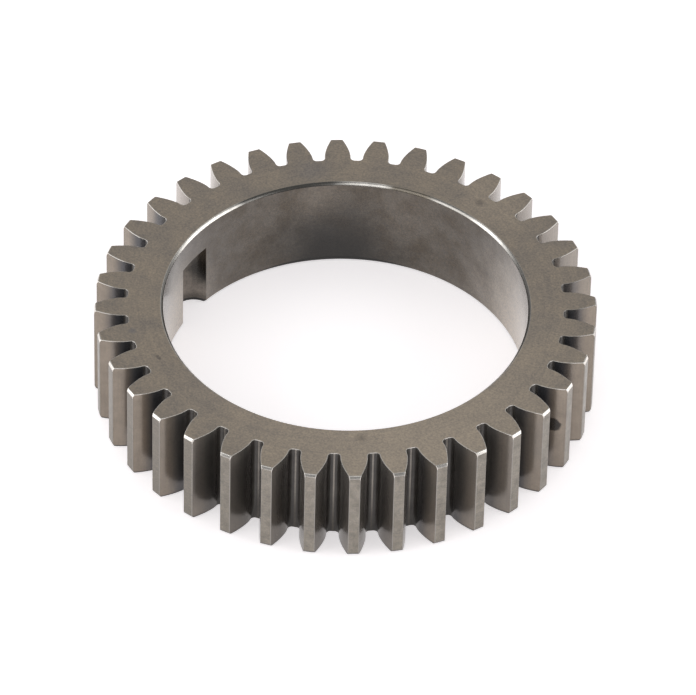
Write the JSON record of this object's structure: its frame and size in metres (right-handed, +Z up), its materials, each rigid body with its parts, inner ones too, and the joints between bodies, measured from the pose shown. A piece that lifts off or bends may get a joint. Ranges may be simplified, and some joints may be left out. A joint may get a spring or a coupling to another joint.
{
  "type": "spur ring gear",
  "caption": "Steel spur ring gear: a wide ring with straight involute teeth, a smooth chamfered bore and a blind half-round dowel seat in the bore wall.",
  "frame": {"origin": "on the gear's axis at its bottom face, the face that it rests on", "axes": "+Z up along the gear's axis; the dowel seat in the bore wall is on -X, on the centre line of a tooth space; Y completes a right-handed frame"},
  "size_m": [0.0964, 0.0964, 0.0203],
  "materials": {
    "steel": "hardened steel with ground faces and bore, hobbed flanks and turned tip lands, satin, unplated"
  },
  "bodies": {
    "root": {"gear": "steel"}
  },
  "joints": []
}
